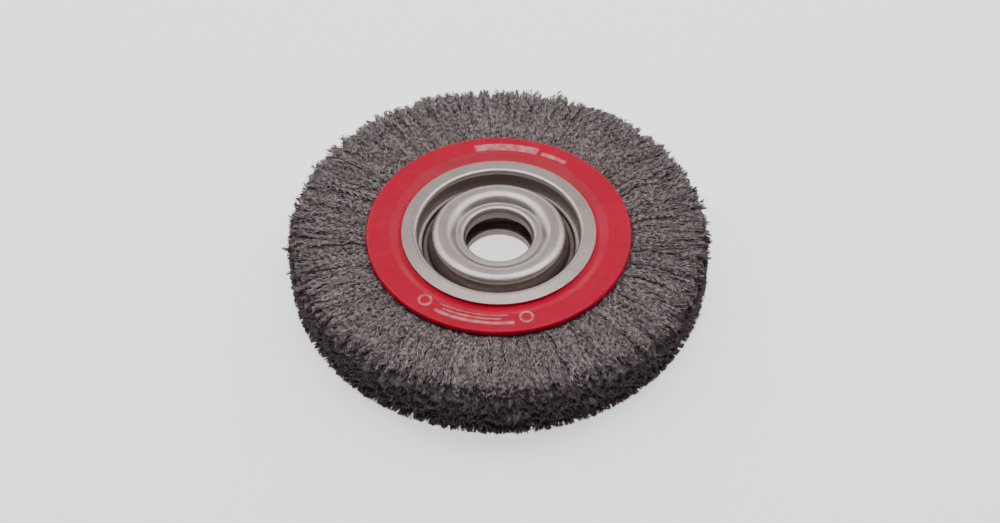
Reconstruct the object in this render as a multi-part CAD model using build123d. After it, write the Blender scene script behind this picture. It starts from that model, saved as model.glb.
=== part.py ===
"""Crimped-wire wheel brush for a bench grinder, 200 mm across, with a 32 mm bore.

The wheel lies flat: +Z is its axis, and the origin is the centre of the bore on the wheel's mid-plane.
Its front (+Z) and rear (-Z) are mirror images. Sizes are in millimetres. Cross-sections are drawn with
X as the radius and Y as the height above the mid-plane, and are turned about the axis.
"""

import os

from build123d import *

# Whole wheel
WHEEL_R = 100.0  # trimmed wire tips
BORE_R = 16.0  # hole for the grinder's arbor, or for its reducing bushes
FIT_GAP = 0.05  # between nested pressings
WIRE_GAP = 0.1  # between the wire and the metal round it

# Clamp rings, bare steel: a rim that falls a little to its edge, and a sleeve down to the mid-plane
CLAMP_GAUGE = 1.5
SLEEVE_R = 38.4  # inner wall
RIM_R = 46.1
RIM_TOP = 13.8  # at the sleeve
RIM_EDGE_TOP = 13.3
RIM_BEND_R = 2.4

# Face plates, red lacquered: flat, with a gentle dip under the rim and the outer edge turned in
PLATE_GAUGE = 1.0
PLATE_R = 63.0
PLATE_BORE_R = 41.0
PLATE_TOP = 14.0
PLATE_SEAT_TOP = RIM_EDGE_TOP - CLAMP_GAUGE
PLATE_DIP_R = (47.6, 52.2)  # foot and head of the dip's slope
PLATE_DIP_BEND_R = 3.0
PLATE_EDGE_TURN = 2.0  # height of the turned edge
PLATE_EDGE_BEND_R = 1.3

# Hub discs, bare steel: lip in the bore, lip ring, crowned crest, wall, valley and upturned flange
HUB_GAUGE = 1.5
LIP_END = 4.1  # the lip's cut edge, so the lips of the two discs stand apart
LIP_TOP = 10.0
CREASE_R = 20.3  # where the lip ring meets the crest
CREASE_TOP = 9.8
CREST_R = (23.9, 29.0)  # corners of the crest before they are rounded
CREST_TOP = 12.9
SHOULDER_R = 32.2
SHOULDER_TOP = 11.4
VALLEY_R = 33.8
FLANGE_TOP = 3.6  # the flange's cut edge
LIP_BEND_R = 2.5
CREASE_BEND_R = 0.6
CREST_BEND_R = (7.0, 5.0)
SHOULDER_BEND_R = 3.4
VALLEY_BEND_R = 1.2

# Wire bundles, each folded over the core ring and squeezed between the face plates
BUNDLES = 24
CORE_RING_R = 50.0
CORE_WIRE_R = 2.5
FOLD_R = 42.0  # where the folded wire comes nearest the axis
FOLD_BEND_R = 6.0
FILL_HALF = 14.3  # half the width of the trimmed fill
FILL_FULL_R = 72.0  # where the fill has flared out to that width
TRIM_BEND_R = 6.5  # rounding of the trimmed edge


def turned(outline, sweep=360.0):
    """Turn a closed cross-section about the wheel's axis, centred on the XZ plane."""
    section = Plane.XZ.rotated((0, 0, -sweep / 2)) * make_face(outline)
    return revolve(section, axis=Axis.Z, revolution_arc=sweep)


def pressing(points, bends, gauge):
    """A ring pressed from sheet. Points and bends follow its showing side, and the sheet lies to their right."""
    points = [Vector(*point) for point in points]
    runs = [(end - start).normalized() for start, end in zip(points, points[1:])]
    rights = [Vector(run.Y, -run.X) for run in runs]
    hidden = [points[0] + rights[0] * gauge]
    hidden_bends = []
    for corner, bend, run, before, after in zip(points[1:], bends, runs, rights, rights[1:]):
        hidden.append(corner + (before + after) * (gauge / (1 + before.dot(after))))
        turns_right = run.dot(after) < 0
        hidden_bends.append(bend - gauge if turns_right else bend + gauge)
    hidden.append(points[-1] + rights[-1] * gauge)
    showing_side = FilletPolyline(*points, radius=bends)
    hidden_side = FilletPolyline(*hidden, radius=hidden_bends)
    cut_edges = [Line(hidden[0], points[0]), Line(points[-1], hidden[-1])]
    return turned([*showing_side.edges(), *hidden_side.edges(), *cut_edges])


def clamp_ring():
    showing = [(SLEEVE_R, 0), (SLEEVE_R, RIM_TOP), (RIM_R, RIM_EDGE_TOP)]
    return pressing(showing, [RIM_BEND_R], CLAMP_GAUGE)


def face_plate():
    showing = [
        (PLATE_BORE_R, PLATE_SEAT_TOP),
        (PLATE_DIP_R[0], PLATE_SEAT_TOP),
        (PLATE_DIP_R[1], PLATE_TOP),
        (PLATE_R, PLATE_TOP),
        (PLATE_R, PLATE_TOP - PLATE_EDGE_TURN),
    ]
    return pressing(showing, [PLATE_DIP_BEND_R, PLATE_DIP_BEND_R, PLATE_EDGE_BEND_R], PLATE_GAUGE)


def hub_disc():
    flange_r = SLEEVE_R - FIT_GAP - HUB_GAUGE
    valley_top = HUB_GAUGE
    showing = [
        (BORE_R, LIP_END),
        (BORE_R, LIP_TOP),
        (CREASE_R, CREASE_TOP),
        (CREST_R[0], CREST_TOP),
        (CREST_R[1], CREST_TOP),
        (SHOULDER_R, SHOULDER_TOP),
        (VALLEY_R, valley_top),
        (flange_r, valley_top),
        (flange_r, FLANGE_TOP),
    ]
    bends = [LIP_BEND_R, CREASE_BEND_R, *CREST_BEND_R, SHOULDER_BEND_R, VALLEY_BEND_R, VALLEY_BEND_R]
    return pressing(showing, bends, HUB_GAUGE)


def hoop(wire_r):
    """A round wire hoop on the mid-plane, at the core ring's radius."""
    section = Plane.XZ * (Pos(CORE_RING_R, 0) * Circle(wire_r))
    return revolve(section, axis=Axis.Z)


def wire_bundle():
    """The space one bundle fills, centred on +X: its fold, the stretch between the plates, and the trimmed fill."""
    plate_back = PLATE_GAUGE + WIRE_GAP
    behind_slope = PLATE_GAUGE / 2
    below_edge = PLATE_TOP - PLATE_EDGE_TURN - WIRE_GAP
    upper = [
        (FOLD_R, 0),
        (FOLD_R, PLATE_SEAT_TOP - plate_back),
        (PLATE_DIP_R[0] + behind_slope, PLATE_SEAT_TOP - plate_back),
        (PLATE_DIP_R[1] + behind_slope, PLATE_TOP - plate_back),
        (PLATE_R - 2 * plate_back, PLATE_TOP - plate_back),
        (PLATE_R - plate_back, below_edge),
        (PLATE_R + WIRE_GAP, below_edge),
        (FILL_FULL_R, FILL_HALF),
        (WHEEL_R, FILL_HALF),
        (WHEEL_R, 0),
    ]
    bends = [FOLD_BEND_R, 0, 0, 0, 0, 0, 0, TRIM_BEND_R]
    half = FilletPolyline(*upper, radius=bends)
    outline = [*half.edges(), *mirror(half, about=Plane.XZ).edges()]
    return turned(outline, sweep=360.0 / BUNDLES) - hoop(CORE_WIRE_R + WIRE_GAP)


def wheel():
    """Every piece of the brush by name."""
    pieces = {"core_ring": hoop(CORE_WIRE_R)}
    for make in (face_plate, clamp_ring, hub_disc):
        front = make()
        pieces[f"front_{make.__name__}"] = front
        pieces[f"rear_{make.__name__}"] = mirror(front, about=Plane.XY)
    bundle = wire_bundle()
    for place in range(BUNDLES):
        pieces[f"wire_bundle_{place + 1:02d}"] = Rot(0, 0, place * 360.0 / BUNDLES) * bundle
    return pieces


os.makedirs("parts", exist_ok=True)
for name, piece in wheel().items():
    export_step(piece, f"parts/{name}.step")
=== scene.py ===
"""The looks of a crimped-wire wheel brush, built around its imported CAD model.

The pressed steel rings and the red face plates are the CAD nodes with worked-up materials. Each wire bundle
is replaced by its wires: crimped steel wires that come out from under the face plates and are trimmed to the
wheel's rounded edge. Lengths are in metres, in the CAD model's frame: +Z is the wheel's axis.
"""

import math

import bpy
import numpy as np
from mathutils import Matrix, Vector


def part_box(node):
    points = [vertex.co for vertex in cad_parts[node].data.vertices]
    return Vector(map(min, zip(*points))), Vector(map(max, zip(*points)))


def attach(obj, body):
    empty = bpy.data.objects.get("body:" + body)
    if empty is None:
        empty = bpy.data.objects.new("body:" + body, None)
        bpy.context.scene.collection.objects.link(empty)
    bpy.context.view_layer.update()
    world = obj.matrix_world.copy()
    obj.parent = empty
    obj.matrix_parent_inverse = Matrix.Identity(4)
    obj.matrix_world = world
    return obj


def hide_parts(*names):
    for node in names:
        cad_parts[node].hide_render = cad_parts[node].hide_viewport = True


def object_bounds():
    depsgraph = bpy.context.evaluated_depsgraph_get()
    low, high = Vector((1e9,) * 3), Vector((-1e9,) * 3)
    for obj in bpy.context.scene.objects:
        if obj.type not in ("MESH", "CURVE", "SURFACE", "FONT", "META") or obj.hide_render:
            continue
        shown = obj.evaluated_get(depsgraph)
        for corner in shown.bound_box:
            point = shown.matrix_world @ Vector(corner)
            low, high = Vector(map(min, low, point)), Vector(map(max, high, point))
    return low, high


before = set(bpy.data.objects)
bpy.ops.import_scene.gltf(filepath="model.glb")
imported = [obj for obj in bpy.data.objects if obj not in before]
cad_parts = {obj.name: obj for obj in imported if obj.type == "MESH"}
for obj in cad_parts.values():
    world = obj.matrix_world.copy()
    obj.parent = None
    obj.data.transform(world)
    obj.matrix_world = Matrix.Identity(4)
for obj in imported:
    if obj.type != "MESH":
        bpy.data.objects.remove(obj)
cad_low, cad_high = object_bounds()

MM = 0.001
rng = np.random.default_rng(20)

# Places, read from the frame
BUNDLES = sorted(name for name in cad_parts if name.startswith("wire_bundle_"))
PLATE_LOW, PLATE_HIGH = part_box("front_face_plate")
WHEEL_R = cad_high.x
FILL_HALF = cad_high.z  # half the width of the wire fill
PLATE_R = PLATE_HIGH.x

# The shape of the fill
TRIM_R = 7.0 * MM  # rounding of the trimmed edge
TIP_R = WHEEL_R - 0.6 * MM  # mean radius of the wire tips
TRIM_CENTRE_R = TIP_R - TRIM_R
TRIM_CENTRE_Z = FILL_HALF - TRIM_R
SQUEEZED = 0.80  # height of the fill at the plate, as a share of its full height
SQUEEZED_R = PLATE_R - 2 * MM  # it has that height out to here
FLARE_LENGTH = 11 * MM  # from there to the full height
MASS_INSET = 2.3 * MM  # how far the dark inside, in painted shade, lies below the fill's surface

# The wires
WIRE_R = 0.20 * MM
WIRE_SIDES = 3
CRIMP_PITCH = 3.4 * MM
CRIMP_SWING = 0.60 * MM
CRIMP_LOST = 0.75  # share of the swing that is worn straight at the wire's end
POINTS_PER_CRIMP = 4
WIRES_PER_STRAND = 5  # neighbouring wires nest, so that they share their crimps
STRAND_SPREAD = 0.42 * MM
STRAND_WANDER = 0.85 * MM  # how far a strand weaves from side to side
WIRE_WANDER = 0.2 * MM  # how far each of its wires does so on its own
WANDER_LENGTH = 16 * MM
PITCH_VARIES, SWING_VARIES = 0.10, 0.20  # from strand to strand, as shares
OFF_PHASE = 0.3  # how far a wire's crimps are off those of its strand, in radians
TWIST = 0.5  # how far a wire's crimps turn about it up to its end, in radians

# The wires of each face, that are modelled from under the plate to their tips
FACE_WIRES = 4600
FACE_LAYER = 2.5 * MM  # depth of these wires
FACE_CLEAR = 0.45 * MM  # how far the topmost lie below the fill's full height
FACE_START_R = PLATE_R - 2.2 * MM
FACE_SHORT = 2.2 * MM  # how far they end inside the tufts' mean radius
FACE_SLANT = math.radians(1.2)  # how much the strands' tips lean to the sides
FACE_SCATTER = (math.radians(0.4), 0.35 * MM)  # of a wire's end from its strand's, in angle and radius
FACE_TURN = 6  # how late they turn towards their tips' places, see crimped()

# The wire ends all over the trimmed edge
RIM_WIRES = 28500
RIM_WIRE_LENGTH = 9 * MM
RIM_ARC = math.radians(78)  # how far they go round the rounding of the edge
RIM_GATHERED = 0.6  # share of a strand's width that is left at its tip
RIM_SCATTER = (math.radians(0.2), 0.25 * MM)
RIM_TURN = 2

# Where the wheel is less worn: degrees round the axis, and how much longer the wires are there
LESS_WORN = ((35, 2.3 * MM), (115, 2.2 * MM), (149, 1.9 * MM))
LESS_WORN_POWER = 8  # the higher, the narrower these places

# The tufts that the wires' ends gather in
TUFTS_AROUND = 160
TUFT_ROWS = 9  # across the width of the fill
TUFT_STAGGER = 0.12  # how far each row is shifted from the next, as a share of a tuft
TUFT_MIDDLES = (0.3, 0.7)  # where the middles of a column of tufts can be, as shares of their width
MIDDLE_SCATTER = 0.07  # how far each tuft's middle is off its column's
TUFT_LEAN = (math.radians(0.8), math.radians(0.3))  # of a column of tufts, and of each tuft on its own
TUFT_LENGTH = 0.45 * MM  # how unevenly the tufts are trimmed
TUFT_RISE = 0.3 * MM  # how much the tufts stand up or down
TUFT_PULL = 0.95  # how far a wire's end goes towards the middle of its tuft
FACE_PULL = 0.22  # the same for the face's wires, that are held by their neighbours
PULL_RANGE = (0.7, 1.1)  # share of this for the least and the most pulled strand
ROW_SCATTER = 0.25  # how far strands stray into the next row's tufts, as a share of a row
TUFT_POINT = 3.3 * MM  # how far the middle of a tuft stands out past its sides
STRAY = 0.65 * MM  # how far single strands stand out of a tuft, on average
PRESSED = 0.08  # share of all this that is left where the tread or the rear is pressed flat
REAR_SPREAD = 0.9 * MM  # how far the wires are pushed outwards where the wheel rests on its rear
SPLAY = (2.3 * MM, 0.9 * MM)  # how far the outermost ends stand out of the front and of the pressed rear

# Painted shade on the wire ends round the tread: where it begins and is full, and where it fades towards the
# faces
TREAD_SHADE_R = (TIP_R - 15 * MM, TIP_R - 3 * MM)
TREAD_SHADE_Z = (FILL_HALF - 4 * MM, FILL_HALF + 0.6 * MM)

# The pressed sheets
BEND_ANGLE = math.radians(32)  # gentler bends are shaded smooth
CUT_ANGLE = math.radians(50)  # sharper edges are cut ones, and are rounded

# Places of painted shade and of a painted highlight on the steel
BORE_SHADE_R = (16.0 * MM, 16.6 * MM)  # painted shade inside the first radius, none outside the second
GROOVE_INNER_R = (32.2 * MM, 34.2 * MM)  # the other way round: down the hub's outer slope
GROOVE_OUTER_R = (38.7 * MM, 39.1 * MM)  # at the clamp ring's sleeve
GROOVE_TOP = (10.6 * MM, 12.8 * MM)  # from the mid-plane
GROOVE_BOTTOM = (2.8 * MM, 5.6 * MM)
FLANGE_EDGE_Z = 3.6 * MM  # the hub's cut edge, with a painted highlight: a pale line
FLANGE_EDGE_R = (37.3 * MM, 37.6 * MM)


# --- Wires ----------------------------------------------------------------------------------------


def envelope_radius(height):
    """Radius of the trimmed fill at a height above or below the mid-plane."""
    over = np.clip(np.abs(height) - TRIM_CENTRE_Z, 0, TRIM_R)
    return TRIM_CENTRE_R + np.sqrt(np.maximum(TRIM_R**2 - over**2, 0))


def flare(radius):
    """Height of the fill at a radius, as a share of its full height: squeezed at the plate."""
    way = np.clip((radius - SQUEEZED_R) / FLARE_LENGTH, 0, 1)
    return SQUEEZED + (1 - SQUEEZED) * way * way * (3 - 2 * way)


def crimped(strand, start_r, end_r, start_angle, end_angle, late, level, rise, points):
    """Centre lines of crimped wires from start to end radius: (wires, points, 3).

    Strand says which wires nest. A wire follows the flare of the fill at its level, and its end leaves that
    level by its rise. The higher late is, the nearer its end the wire turns towards its end angle."""
    wires, strands = len(strand), strand.max() + 1
    way = np.linspace(0, 1, points)[None, :]
    radius = start_r[:, None] + (end_r - start_r)[:, None] * way
    angle = start_angle[:, None] + (end_angle - start_angle)[:, None] * way**late
    height = level[:, None] * flare(radius) + rise[:, None] * way**3
    phase = rng.uniform(0, 2 * math.pi, (strands, 1))[strand] + rng.normal(0, OFF_PHASE, (wires, 1))
    pitch = CRIMP_PITCH * rng.normal(1, PITCH_VARIES, (strands, 1))[strand]
    swing = CRIMP_SWING * rng.normal(1, SWING_VARIES, (strands, 1))[strand]
    roll = rng.uniform(0, 2 * math.pi, (strands, 1))[strand] + rng.normal(0, TWIST, (wires, 1)) * way
    wander = STRAND_WANDER * rng.normal(0, 1, (strands, 1))[strand]
    wander += WIRE_WANDER * rng.normal(0, 1, (wires, 1))
    drift = 2 * math.pi * (radius - start_r[:, None]) / WANDER_LENGTH + phase * 3
    wave = swing * (1 - CRIMP_LOST * way**3) * np.sin(2 * math.pi * radius / pitch + phase)
    aside = wave * np.cos(roll) + wander * np.sin(drift)
    above = wave * np.sin(roll)
    along = np.stack([np.cos(angle), np.sin(angle), np.zeros_like(angle)], axis=-1)
    across = np.stack([-np.sin(angle), np.cos(angle), np.zeros_like(angle)], axis=-1)
    line = along * radius[..., None] + across * aside[..., None]
    line[..., 2] += height + above
    return line


def tubes(lines):
    """Closed tubes round centre lines: vertices, four-cornered sides and three-cornered end caps."""
    wires, points, _ = lines.shape
    ahead = np.gradient(lines, axis=1)
    ahead /= np.linalg.norm(ahead, axis=-1, keepdims=True)
    mean = lines[:, -1] - lines[:, 0]
    mean /= np.linalg.norm(mean, axis=-1, keepdims=True)
    spin = rng.normal(size=mean.shape)
    side = np.cross(mean, spin)
    side /= np.linalg.norm(side, axis=-1, keepdims=True)
    first = np.cross(ahead, side[:, None, :])
    first /= np.linalg.norm(first, axis=-1, keepdims=True)
    second = np.cross(ahead, first)
    turns = 2 * math.pi * np.arange(WIRE_SIDES) / WIRE_SIDES
    ring = first[:, :, None, :] * np.cos(turns)[:, None] + second[:, :, None, :] * np.sin(turns)[:, None]
    vertices = (lines[:, :, None, :] + WIRE_R * ring).reshape(-1, 3)

    base = np.arange(wires)[:, None, None] * points * WIRE_SIDES
    step = np.arange(points - 1)[None, :, None] * WIRE_SIDES
    edge = np.arange(WIRE_SIDES)[None, None, :]
    following = (edge + 1) % WIRE_SIDES
    here, there = base + step + edge, base + step + following
    sides = np.stack([here, here + WIRE_SIDES, there + WIRE_SIDES, there], axis=-1).reshape(-1, 4)
    start_cap = (base + edge)[:, 0, :]
    end_cap = start_cap[:, ::-1] + (points - 1) * WIRE_SIDES
    return vertices, sides, np.concatenate([start_cap, end_cap])


def mesh_object(name, vertices, quads, triangles):
    """A mesh object from arrays of vertices, four-cornered faces and three-cornered faces."""
    mesh = bpy.data.meshes.new(name)
    corners = np.concatenate([quads.reshape(-1), triangles.reshape(-1)])
    sizes = np.concatenate([np.full(len(quads), 4), np.full(len(triangles), 3)])
    starts = np.concatenate([[0], np.cumsum(sizes)[:-1]])
    mesh.vertices.add(len(vertices))
    mesh.vertices.foreach_set("co", vertices.astype(np.float32).reshape(-1))
    mesh.loops.add(len(corners))
    mesh.loops.foreach_set("vertex_index", corners.astype(np.int32))
    mesh.polygons.add(len(sizes))
    mesh.polygons.foreach_set("loop_start", starts.astype(np.int32))
    mesh.polygons.foreach_set("loop_total", sizes.astype(np.int32))
    mesh.update(calc_edges=True)
    mesh.polygons.foreach_set("use_smooth", np.ones(len(sizes), dtype=bool))
    obj = bpy.data.objects.new(name, mesh)
    bpy.context.scene.collection.objects.link(obj)
    return obj


def uneven(angle):
    """How much longer the wires are where the wheel is less worn."""
    longer = np.zeros_like(angle)
    for middle, most in LESS_WORN:
        longer += most * np.maximum(np.cos(angle - math.radians(middle)), 0) ** LESS_WORN_POWER
    return longer


def spread_out(level):
    """How far wire ends at these heights are pushed outwards where the wheel rests on its rear."""
    return REAR_SPREAD * np.clip(-level / TRIM_CENTRE_Z, 0, 1) ** 2


def splay(level, count):
    """How far wire ends at these heights stand up or down out of the trimmed fill."""
    outermost = np.clip((np.abs(level) - TRIM_CENTRE_Z) / TRIM_R, 0, 1)
    most = np.where(level > 0, SPLAY[0], -SPLAY[1])
    return most * outermost * rng.uniform(0, 1, count)


class Tufts:
    """The tufts that the wires' ends gather in: a loose grid round the axis and across the fill."""

    def __init__(self):
        grid = (TUFT_ROWS, TUFTS_AROUND)
        self.middle = rng.uniform(*TUFT_MIDDLES, TUFTS_AROUND) + rng.normal(0, MIDDLE_SCATTER, grid)
        self.lean = rng.normal(0, TUFT_LEAN[0], TUFTS_AROUND) + rng.normal(0, TUFT_LEAN[1], grid)
        self.length = rng.normal(0, TUFT_LENGTH, grid)
        self.rise = rng.normal(0, TUFT_RISE, grid)

    def gather(self, angle, level, most_pull):
        """Where wires with ends at these angles and levels really end: (angle, extra length, rise)."""
        share = (level / FILL_HALF + 1) / 2
        row = (share * TUFT_ROWS + rng.normal(0, ROW_SCATTER, len(share))).astype(int)
        row = np.clip(row, 0, TUFT_ROWS - 1)
        place = (angle / (2 * math.pi) * TUFTS_AROUND + row * TUFT_STAGGER) % TUFTS_AROUND
        column = place.astype(int) % TUFTS_AROUND
        aside = self.middle[row, column] - place % 1
        free = np.clip((level - TRIM_CENTRE_Z / 2) / (FILL_HALF - TRIM_CENTRE_Z), PRESSED, 1)
        pull = most_pull * rng.uniform(*PULL_RANGE, len(angle)) * free
        end_angle = angle + aside * pull * 2 * math.pi / TUFTS_AROUND + self.lean[row, column] * free
        longer = self.length[row, column] - TUFT_POINT * (2 * np.abs(aside) - 0.5)
        longer += rng.exponential(STRAY, len(angle)) - STRAY
        return end_angle, longer * free, self.rise[row, column] * free


def face_lines(side, tufts):
    """Full-length wires of one face, side +1 for the front: from under the plate to the trimmed edge."""
    strand = np.arange(FACE_WIRES) // WIRES_PER_STRAND
    strands = FACE_WIRES // WIRES_PER_STRAND
    depth = FACE_LAYER * rng.beta(0.9, 1.6, strands)  # more of them near the top
    level = side * (FILL_HALF - FACE_CLEAR - depth)
    angle = 2 * math.pi * rng.permutation(np.arange(strands) + rng.uniform(-0.5, 0.5, strands)) / strands
    end_angle, longer, rise = tufts.gather(angle, level, FACE_PULL)
    end_angle += rng.normal(0, FACE_SLANT, strands)
    end_r = envelope_radius(level) - FACE_SHORT + longer + uneven(angle) + spread_out(level)
    rise += splay(level, strands)
    beside = rng.normal(0, STRAND_SPREAD, FACE_WIRES)
    below = side * np.abs(rng.normal(0, STRAND_SPREAD, FACE_WIRES))
    start_angle = angle[strand] + beside / PLATE_R
    end_angle = end_angle[strand] + beside / TIP_R + rng.normal(0, FACE_SCATTER[0], FACE_WIRES)
    end_r = end_r[strand] + rng.normal(0, FACE_SCATTER[1], FACE_WIRES)
    start_r = np.full(FACE_WIRES, FACE_START_R)
    points = int((WHEEL_R - PLATE_R) / CRIMP_PITCH * POINTS_PER_CRIMP)
    level = level[strand] - below
    lines = crimped(strand, start_r, end_r, start_angle, end_angle, FACE_TURN, level, rise[strand], points)
    return angle[strand], lines


def rim_lines(tufts):
    """The outer ends of the wires all over the trimmed edge."""
    strand = np.arange(RIM_WIRES) // WIRES_PER_STRAND
    strands = RIM_WIRES // WIRES_PER_STRAND
    half_way = TRIM_CENTRE_Z + RIM_ARC * TRIM_R  # from the mid-plane over the tread and round the edge
    along = rng.uniform(-half_way, half_way, strands)
    over = np.clip(np.abs(along) - TRIM_CENTRE_Z, 0, None) / TRIM_R
    level = np.sign(along) * (np.minimum(np.abs(along), TRIM_CENTRE_Z) + TRIM_R * np.sin(over))
    angle = rng.uniform(-math.pi, math.pi, strands)
    end_angle, longer, rise = tufts.gather(angle, level, TUFT_PULL)
    end_r = TRIM_CENTRE_R + TRIM_R * np.cos(over) + longer + uneven(angle) + spread_out(level)
    rise += splay(level, strands)
    beside = rng.normal(0, STRAND_SPREAD, RIM_WIRES) / TIP_R
    below = rng.normal(0, STRAND_SPREAD, RIM_WIRES)
    end_angle = end_angle[strand] + beside * RIM_GATHERED + rng.normal(0, RIM_SCATTER[0], RIM_WIRES)
    end_r = end_r[strand] + rng.normal(0, RIM_SCATTER[1], RIM_WIRES)
    start_r = end_r - RIM_WIRE_LENGTH * rng.uniform(0.85, 1.15, RIM_WIRES)
    points = int(RIM_WIRE_LENGTH / CRIMP_PITCH * POINTS_PER_CRIMP) + 1
    start_angle = angle[strand] + beside
    level = level[strand] - below
    lines = crimped(strand, start_r, end_r, start_angle, end_angle, RIM_TURN, level, rise[strand], points)
    return angle[strand], lines


def bundle_of(angle):
    """Which bundle holds a wire at an angle about the axis. The first bundle is centred on +X."""
    count = len(BUNDLES)
    return np.floor(angle / (2 * math.pi) * count + 0.5).astype(int) % count


def packed_mass(place):
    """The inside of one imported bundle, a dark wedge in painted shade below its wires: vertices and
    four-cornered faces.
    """
    behind_plate = PLATE_LOW.z - 0.3 * MM
    fold_r, fold_z = 42 * MM, 5 * MM
    upper = [(fold_r, fold_z), (fold_r + 3 * MM, behind_plate), (SQUEEZED_R, behind_plate)]
    upper.append((PLATE_R + FLARE_LENGTH, FILL_HALF - MASS_INSET))
    edge = TRIM_R - MASS_INSET
    for angle in np.linspace(math.radians(85), 0, 6):
        upper.append((TRIM_CENTRE_R + edge * math.cos(angle), TRIM_CENTRE_Z + edge * math.sin(angle)))
    ring = np.array(upper + [(r, -z) for r, z in reversed(upper)])
    steps = 10
    middle = 2 * math.pi * place / len(BUNDLES)
    angles = middle + np.linspace(-1, 1, steps + 1) * math.pi / len(BUNDLES)
    x = np.outer(np.cos(angles), ring[:, 0])
    y = np.outer(np.sin(angles), ring[:, 0])
    z = np.outer(np.ones(steps + 1), ring[:, 1])
    corners = len(ring)
    here = np.arange(steps)[:, None] * corners + np.arange(corners)[None, :]
    beside = np.arange(steps)[:, None] * corners + (np.arange(corners)[None, :] + 1) % corners
    quads = np.stack([here, here + corners, beside + corners, beside], axis=-1).reshape(-1, 4)
    rung = np.arange(corners // 2 - 1)
    cap = np.stack([rung, rung + 1, corners - 2 - rung, corners - 1 - rung], axis=-1)
    caps = np.concatenate([cap, cap[:, ::-1] + steps * corners])
    return np.stack([x, y, z], axis=-1).reshape(-1, 3), np.concatenate([quads, caps])


# --- Materials ------------------------------------------------------------------------------------


class Shader:
    """A new node material with short calls for the nodes used here. Patterns are in object space."""

    def __init__(self, name):
        self.material = bpy.data.materials.new(name)
        self.material.use_nodes = True
        self.nodes = self.material.node_tree.nodes
        self.links = self.material.node_tree.links
        self.bsdf = self.nodes["Principled BSDF"]
        self.place = self.nodes.new("ShaderNodeTexCoord").outputs["Object"]

    def link(self, source, target):
        self.links.new(source, target)

    def feed(self, socket, value):
        if isinstance(value, bpy.types.NodeSocket):
            self.link(value, socket)
        else:
            socket.default_value = value

    def math(self, operation, a, b=0.0):
        node = self.nodes.new("ShaderNodeMath")
        node.operation = operation
        for socket, value in zip(node.inputs, (a, b)):
            self.feed(socket, value)
        return node.outputs[0]

    def times(self, a, b):
        return self.math("MULTIPLY", a, b)

    def away(self, value, middle):
        """How far a value is from a middle one."""
        return self.math("ABSOLUTE", self.math("SUBTRACT", value, middle))

    def noise(self, scale, detail=3.0, roughness=0.55, vector=None):
        """Noise from 0 to 1 whose features are about 1/scale metres across."""
        node = self.nodes.new("ShaderNodeTexNoise")
        node.inputs["Scale"].default_value = scale
        node.inputs["Detail"].default_value = detail
        node.inputs["Roughness"].default_value = roughness
        self.link(vector or self.place, node.inputs["Vector"])
        return node.outputs["Fac"]

    def spread(self, value, low, high, to_low=0.0, to_high=1.0):
        """Map low..high to to_low..to_high, clamped."""
        node = self.nodes.new("ShaderNodeMapRange")
        self.feed(node.inputs["Value"], value)
        for name, number in (("From Min", low), ("From Max", high), ("To Min", to_low), ("To Max", to_high)):
            node.inputs[name].default_value = number
        return node.outputs["Result"]

    def below(self, value, low, high):
        """1 below low, falling to 0 at high."""
        return self.spread(value, low, high, 1.0, 0.0)

    def mix(self, share, a, b):
        node = self.nodes.new("ShaderNodeMix")
        node.data_type = "RGBA"
        self.feed(node.inputs["Factor"], share)
        self.feed(node.inputs["A"], (*a, 1) if isinstance(a, tuple) else a)
        self.feed(node.inputs["B"], (*b, 1) if isinstance(b, tuple) else b)
        return node.outputs["Result"]

    def bump(self, height, distance, strength=1.0, under=None):
        node = self.nodes.new("ShaderNodeBump")
        node.inputs["Strength"].default_value = strength
        node.inputs["Distance"].default_value = distance
        self.link(height, node.inputs["Height"])
        if under is not None:
            self.link(under, node.inputs["Normal"])
        return node.outputs["Normal"]

    def polar(self):
        """Radius and angle about the axis, and the height, as sockets."""
        split = self.nodes.new("ShaderNodeSeparateXYZ")
        self.link(self.place, split.inputs[0])
        x, y, z = split.outputs
        radius = self.math("SQRT", self.math("ADD", self.times(x, x), self.times(y, y)))
        return radius, self.math("ARCTAN2", y, x), z

    def joined(self, x, y, z):
        node = self.nodes.new("ShaderNodeCombineXYZ")
        for socket, value in zip(node.inputs, (x, y, z)):
            self.feed(socket, value)
        return node.outputs[0]


def wire_material():
    """Bare steel wire: dull, browner in patches, rubbed bright in flecks, with painted shade on the wire
    ends round the tread.
    """
    dark, plain, bright = (0.160, 0.124, 0.124), (0.465, 0.399, 0.393), (0.62, 0.56, 0.55)
    brown, tread_shade_tone = (0.24, 0.185, 0.190), (0.118, 0.084, 0.109)
    s = Shader("crimped_steel_wire")
    fleck = s.noise(560, 2.0)
    tone = s.mix(s.spread(fleck, 0.34, 0.62), dark, plain)
    tone = s.mix(s.spread(fleck, 0.64, 0.76), tone, bright)
    tone = s.mix(s.spread(s.noise(38, 2.0), 0.3, 0.7, 0.0, 0.25), tone, brown)
    radius, _, height = s.polar()
    # painted shade: the wire ends round the tread are darkened, as shade falls between them
    tread_shade = s.times(s.spread(radius, *TREAD_SHADE_R), s.below(s.math("ABSOLUTE", height), *TREAD_SHADE_Z))
    tone = s.mix(s.times(tread_shade, 0.9), tone, tread_shade_tone)
    s.link(tone, s.bsdf.inputs["Base Color"])
    s.bsdf.inputs["Metallic"].default_value = 0.75
    s.link(s.spread(tread_shade, 0.0, 1.0, 0.38, 0.70), s.bsdf.inputs["Roughness"])
    return s.material


def mass_material():
    """The shaded depth between packed wires."""
    # painted shade: both tones stand for the shaded wires deep in the fill
    gap_shade, wire = (0.050, 0.041, 0.042), (0.170, 0.140, 0.143)
    s = Shader("packed_wire_shade")
    tone = s.mix(s.spread(s.noise(900, 2.0), 0.35, 0.7), gap_shade, wire)
    s.link(tone, s.bsdf.inputs["Base Color"])
    s.bsdf.inputs["Metallic"].default_value = 0.4
    s.bsdf.inputs["Roughness"].default_value = 0.7
    s.link(s.bump(s.noise(700, 2.0), 0.6 * MM), s.bsdf.inputs["Normal"])
    return s.material


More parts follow.
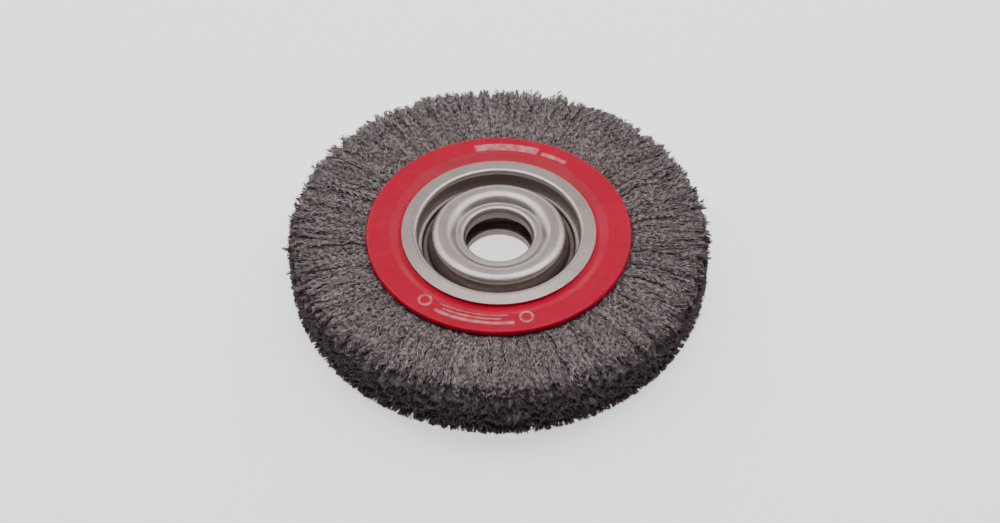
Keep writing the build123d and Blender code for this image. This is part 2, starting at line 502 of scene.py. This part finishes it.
def steel_material():
    """Bare pressed steel: satin, with faint drawing lines round the axis, a mill finish and small scars."""
    dull, clean = (0.45, 0.388, 0.362), (0.57, 0.497, 0.466)
    blotch, scratch = (0.31, 0.262, 0.236), (0.17, 0.140, 0.122)
    shade_tone, deep_shade_tone, pale = (0.52, 0.443, 0.416), (0.145, 0.117, 0.108), (0.72, 0.66, 0.63)
    s = Shader("pressed_bare_steel")
    radius, angle, height = s.polar()
    level = s.math("ABSOLUTE", height)
    fine_lines = 5200.0  # per metre
    drawn = s.joined(s.times(radius, fine_lines), s.times(height, fine_lines), angle)
    lines = s.noise(1.0, 2.0, vector=drawn)
    mottle = s.noise(110, 4.0)
    cloud = s.noise(24, 3.0)
    scar = s.noise(330, 5.0, 0.7)
    tone = s.mix(s.spread(cloud, 0.3, 0.7), dull, clean)
    tone = s.mix(s.spread(mottle, 0.5, 0.75, 0.0, 0.40), tone, blotch)
    tone = s.mix(s.spread(scar, 0.66, 0.76, 0.0, 0.7), tone, scratch)

    # Painted shade: darker and rougher down in the groove between the hub and the clamp ring, and inside the
    # bore
    groove_shade = s.times(s.spread(radius, *GROOVE_INNER_R), s.below(radius, *GROOVE_OUTER_R))
    bore_shade = s.below(radius, *BORE_SHADE_R)
    painted_shade = s.math("MAXIMUM", s.times(groove_shade, s.below(level, *GROOVE_TOP)), bore_shade)
    painted_shade = s.times(painted_shade, s.spread(cloud, 0.2, 0.6, 0.75, 0.95))
    deeper_shade = s.math("MAXIMUM", bore_shade, s.below(level, *GROOVE_BOTTOM))
    tone = s.mix(painted_shade, tone, s.mix(deeper_shade, shade_tone, deep_shade_tone))

    # Painted highlight: a pale, less metallic line along the hub's cut edge
    beside_edge = s.away(level, FLANGE_EDGE_Z)
    edge_highlight = s.times(s.below(beside_edge, 0.25 * MM, 0.5 * MM), s.spread(radius, *FLANGE_EDGE_R))
    tone = s.mix(edge_highlight, tone, pale)
    s.link(tone, s.bsdf.inputs["Base Color"])
    s.link(s.spread(edge_highlight, 0.0, 1.0, 1.0, 0.15), s.bsdf.inputs["Metallic"])

    rough = s.math("ADD", s.spread(mottle, 0.3, 0.7, 0.25, 0.36), s.spread(lines, 0.3, 0.7, -0.04, 0.05))
    rough = s.math("ADD", rough, s.times(painted_shade, 0.2))
    s.link(rough, s.bsdf.inputs["Roughness"])
    fine = s.bump(lines, 0.004 * MM, 0.6)
    s.link(s.bump(s.noise(420, 3.0), 0.012 * MM, 0.8, under=fine), s.bsdf.inputs["Normal"])
    return s.material


def printed_marks(s):
    """Where the worn pale print is on the front plate, from 0 to 1: plain arc lines and plain rings."""
    radius, angle, height = s.polar()
    flat = s.joined(s.times(radius, s.math("COSINE", angle)), s.times(radius, s.math("SINE", angle)), 0.0)
    soft, soft_angle = 0.25 * MM, 0.004  # blur of the print's edges

    def within(value, middle, half, blur):
        return s.below(s.away(value, middle), half - blur, half + blur)

    def arc_line(line_r, thickness, middle, half_angle):
        """A line round the axis, in millimetres and degrees."""
        radial = within(radius, line_r * MM, thickness / 2 * MM, soft)
        return s.times(radial, within(angle, math.radians(middle), math.radians(half_angle), soft_angle))

    def small_ring(place_r, place_angle, ring_r):
        """A ring whose middle is at a radius and an angle about the axis."""
        turn, half_line = math.radians(place_angle), 0.5 * MM
        middle = (place_r * MM * math.cos(turn), place_r * MM * math.sin(turn), 0)
        distance = s.nodes.new("ShaderNodeVectorMath")
        distance.operation = "DISTANCE"
        s.link(flat, distance.inputs[0])
        distance.inputs[1].default_value = middle
        return within(distance.outputs["Value"], ring_r * MM, half_line, soft)

    marks = arc_line(55.4, 4.6, 86, 16.5)
    for part in (
        arc_line(54.8, 2.4, 60, 7),
        arc_line(57.5, 1.6, -101.5, 18.5),
        arc_line(55.2, 0.9, -103, 14),
        arc_line(53.2, 0.5, -102.5, 17),
        small_ring(55.2, -127, 2.8),
        small_ring(55.2, -77, 2.8),
    ):
        marks = s.math("MAXIMUM", marks, part)
    worn = s.spread(s.noise(300, 2.0), 0.30, 0.62, 0.25, 1.0)
    front_only = s.spread(height, 0.0, 1 * MM)
    return s.times(s.times(marks, worn), front_only)


def lacquer_material():
    """Red lacquer over pressed steel: glossy, slightly orange-peeled, with a worn pale print in front."""
    deep, light, stain = (0.50, 0.002, 0.028), (0.60, 0.004, 0.040), (0.32, 0.003, 0.018)
    print_pale = (0.86, 0.62, 0.64)
    s = Shader("red_lacquer")
    red = s.mix(s.spread(s.noise(36, 3.0), 0.3, 0.7), deep, light)
    red = s.mix(s.spread(s.noise(260, 4.0), 0.52, 0.80, 0.0, 0.35), red, stain)
    red = s.mix(s.times(printed_marks(s), 0.45), red, print_pale)
    s.link(red, s.bsdf.inputs["Base Color"])
    s.link(s.spread(s.noise(160, 3.0), 0.3, 0.7, 0.20, 0.32), s.bsdf.inputs["Roughness"])
    s.bsdf.inputs["Specular IOR Level"].default_value = 0.22
    s.link(s.bump(s.noise(520, 1.0), 0.010 * MM, 0.6), s.bsdf.inputs["Normal"])
    return s.material


STEEL = steel_material()
LACQUER = lacquer_material()
WIRE = wire_material()
MASS = mass_material()


def smooth_bends():
    """A modifier group that shades a sheet smooth over its bends and leaves its cut edges sharp."""
    group = bpy.data.node_groups.new("smooth_bends", "GeometryNodeTree")
    group.interface.new_socket("Geometry", in_out="INPUT", socket_type="NodeSocketGeometry")
    group.interface.new_socket("Geometry", in_out="OUTPUT", socket_type="NodeSocketGeometry")
    nodes, links = group.nodes, group.links
    faces = nodes.new("GeometryNodeSetShadeSmooth")
    edges = nodes.new("GeometryNodeSetShadeSmooth")
    edges.domain = "EDGE"
    gentle = nodes.new("FunctionNodeCompare")
    gentle.operation = "LESS_THAN"
    gentle.inputs["B"].default_value = BEND_ANGLE
    links.new(nodes.new("NodeGroupInput").outputs[0], faces.inputs["Geometry"])
    links.new(faces.outputs["Geometry"], edges.inputs["Geometry"])
    links.new(nodes.new("GeometryNodeInputMeshEdgeAngle").outputs["Unsigned Angle"], gentle.inputs["A"])
    links.new(gentle.outputs["Result"], edges.inputs["Shade Smooth"])
    links.new(edges.outputs["Geometry"], nodes.new("NodeGroupOutput").inputs[0])
    return group


SMOOTH_BENDS = smooth_bends()


def dress(node, material, edge):
    """Give a CAD node its material, and round its cut edges by a little."""
    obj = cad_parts[node]
    for slot in obj.material_slots:
        slot.material = material
    bevel = obj.modifiers.new("broken_edges", "BEVEL")
    bevel.width = edge
    bevel.segments = 2
    bevel.limit_method = "ANGLE"
    bevel.angle_limit = CUT_ANGLE
    obj.modifiers.new("smooth_bends", "NODES").node_group = SMOOTH_BENDS


# --- Pieces ---------------------------------------------------------------------------------------

for side in ("front", "rear"):
    dress(f"{side}_face_plate", LACQUER, 0.22 * MM)
    dress(f"{side}_clamp_ring", STEEL, 0.25 * MM)
    dress(f"{side}_hub_disc", STEEL, 0.25 * MM)
dress("core_ring", STEEL, 0.1 * MM)

tufts = Tufts()
groups = [face_lines(1, tufts), face_lines(-1, tufts), rim_lines(tufts)]
for place, node in enumerate(BUNDLES):
    vertices, quads, triangles = [], [], []
    start = 0
    for angle, lines in groups:
        points, sides, caps = tubes(lines[bundle_of(angle) == place])
        vertices.append(points)
        quads.append(sides + start)
        triangles.append(caps + start)
        start += len(points)
    wires = mesh_object(f"crimped_{node}", *map(np.concatenate, (vertices, quads, triangles)))
    wires.data.materials.append(WIRE)
    inside = mesh_object(f"packed_{node}", *packed_mass(place), np.zeros((0, 3), int))
    inside.data.materials.append(MASS)
    for piece in (wires, inside):
        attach(piece, "root")
        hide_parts(node)

# --- Floor, light and camera ----------------------------------------------------------------------

FLOOR_HALF = 3.0
FLOOR_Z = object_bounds()[0].z  # the lowest wire tips
floor_mesh = bpy.data.meshes.new("floor")
floor_corners = [(x * FLOOR_HALF, y * FLOOR_HALF, FLOOR_Z) for x, y in ((-1, -1), (1, -1), (1, 1), (-1, 1))]
floor_mesh.from_pydata(floor_corners, [], [(0, 1, 2, 3)])
floor = bpy.data.objects.new("floor", floor_mesh)
bpy.context.scene.collection.objects.link(floor)
pale = Shader("pale_floor")
pale.bsdf.inputs["Base Color"].default_value = (0.95, 0.95, 0.95, 1)
pale.bsdf.inputs["Emission Color"].default_value = (1, 1, 1, 1)
pale.bsdf.inputs["Emission Strength"].default_value = 1.0
pale.bsdf.inputs["Roughness"].default_value = 0.8
floor_mesh.materials.append(pale.material)

world = bpy.data.worlds.new("studio")
world.use_nodes = True
world.node_tree.nodes["Background"].inputs["Color"].default_value = (1, 1, 1, 1)
world.node_tree.nodes["Background"].inputs["Strength"].default_value = 0.22
bpy.context.scene.world = world

WHEEL_CENTRE = Vector((0, 0, 0))


def softbox(name, place, size, watts):
    """A soft light at a place, facing the wheel's centre."""
    data = bpy.data.lights.new(name, "AREA")
    data.shape = "ELLIPSE"
    data.size, data.size_y = size
    data.energy = watts
    light = bpy.data.objects.new(name, data)
    bpy.context.scene.collection.objects.link(light)
    light.location = place
    light.rotation_euler = (WHEEL_CENTRE - Vector(place)).to_track_quat("-Z", "Y").to_euler()


softbox("overhead", (0.0, 0.18, 1.0), (2.0, 0.70), 9.2)
softbox("behind", (0.0, 1.25, 1.0), (2.2, 1.0), 2.2)
softbox("behind_low", (0.0, 1.4, 0.42), (2.0, 0.4), 2.9)
softbox("behind_left", (-1.05, 0.75, 0.95), (1.4, 0.9), 5.0)
softbox("behind_right", (1.05, 0.75, 0.95), (1.4, 0.9), 4.6)

# The photograph's view
ELEVATION = math.radians(48.7)
DISTANCE = 0.617
SHIFT_ACROSS, SHIFT_DOWN = 0.6 * MM, 6.65 * MM  # of the camera, from looking straight at the centre
FOCAL_PX = 1280
IMAGE_WIDTH_PX = 1000
SENSOR_MM = 36
camera_data = bpy.data.cameras.new("camera")
camera_data.sensor_width = SENSOR_MM
camera_data.lens = SENSOR_MM * FOCAL_PX / IMAGE_WIDTH_PX
camera = bpy.data.objects.new("camera", camera_data)
bpy.context.scene.collection.objects.link(camera)
back = Vector((0, -math.cos(ELEVATION), math.sin(ELEVATION)))
up = Vector((0, math.sin(ELEVATION), math.cos(ELEVATION)))
camera.location = back * DISTANCE - up * SHIFT_DOWN + Vector((SHIFT_ACROSS, 0, 0))
camera.rotation_euler = (-back).to_track_quat("-Z", "Y").to_euler()
bpy.context.scene.camera = camera
